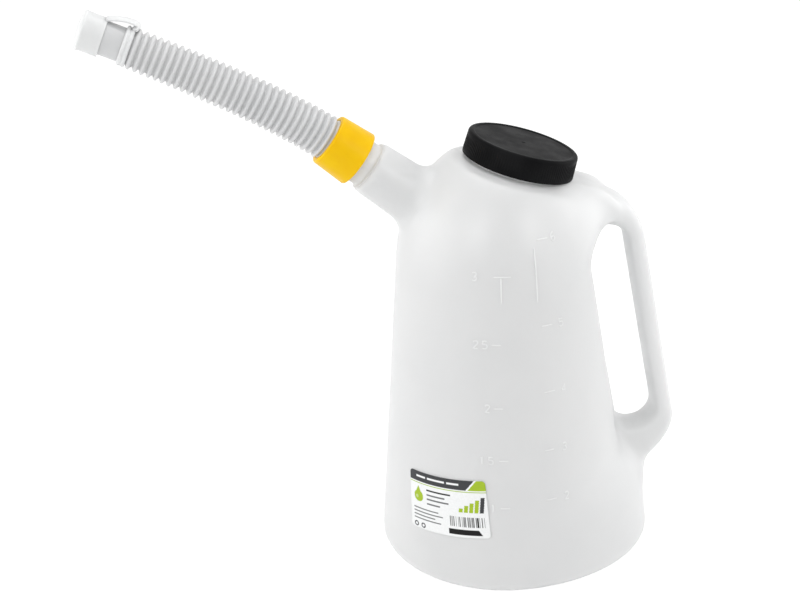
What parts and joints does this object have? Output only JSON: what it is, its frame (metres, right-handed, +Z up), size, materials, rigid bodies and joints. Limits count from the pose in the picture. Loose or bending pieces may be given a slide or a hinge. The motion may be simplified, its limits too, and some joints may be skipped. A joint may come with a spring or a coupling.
{
  "type": "oil measuring jug",
  "caption": "Translucent white oil measuring jug with a moulded side handle, a black screw cap on a wide tilted neck, and a corrugated flexible spout held by a yellow nut",
  "frame": {"origin": "Centre of the round foot, on the surface that the jug stands on", "axes": "+X points to the handle, -X to the spout, +Z is up, and y = 0 is the parting plane of the blow mould"},
  "size_m": [0.3374, 0.1532, 0.3436],
  "materials": {
    "milky_polyethylene": "translucent satin",
    "black_plastic": "satin",
    "white_foam": "matte",
    "yellow_plastic": "satin",
    "soft_clear_plastic": "translucent satin",
    "milky_soft_plastic": "translucent satin",
    "paper_label": "gloss coated"
  },
  "bodies": {
    "jug": {"jug_foot": "milky_polyethylene", "jug_side": "milky_polyethylene", "jug_grip": "milky_polyethylene", "jug_shoulder": "milky_polyethylene", "handle_top": "milky_polyethylene", "spout_root": "milky_polyethylene", "filler_neck": "milky_polyethylene", "spout_end": "milky_polyethylene", "label": "paper_label"},
    "liner": {"cap_liner": "white_foam"},
    "cap": {"filler_cap": "black_plastic"},
    "hose": {"flexible_spout": "soft_clear_plastic", "tip_strap": "milky_soft_plastic"},
    "nut": {"spout_nut": "yellow_plastic"},
    "tip_cap": {"tip_cap": "milky_soft_plastic"}
  },
  "joints": [
    {"name": "cap_lift", "type": "slide", "parent": "jug", "child": "liner", "axis": [0.279, 0, 0.9603], "range_m": [0, 0.0121]},
    {"name": "cap_turn", "type": "hinge", "parent": "liner", "child": "cap", "pos_m": [0.0108, 0, 0.2414], "axis": [0.279, 0, 0.9603], "range_deg": [0, 1080]},
    {"name": "spout_draw", "type": "slide", "parent": "jug", "child": "hose", "axis": [-0.7826, 0, 0.6225], "range_m": [0, 0.0161]},
    {"name": "nut_turn", "type": "hinge", "parent": "hose", "child": "nut", "pos_m": [-0.0755, 0, 0.2466], "axis": [-0.7826, 0, 0.6225], "range_deg": [0, 1440]},
    {"name": "tip_pull", "type": "slide", "parent": "hose", "child": "tip_cap", "axis": [-0.9063, 0, 0.4226], "range_m": [0, 0.011], "deforming": ["tip_strap"]}
  ],
  "couplings": [
    {"joint": "cap_lift", "follows": "cap_turn", "m_per_rad": 0.00063662},
    {"joint": "spout_draw", "follows": "nut_turn", "m_per_rad": 0.00063662}
  ]
}
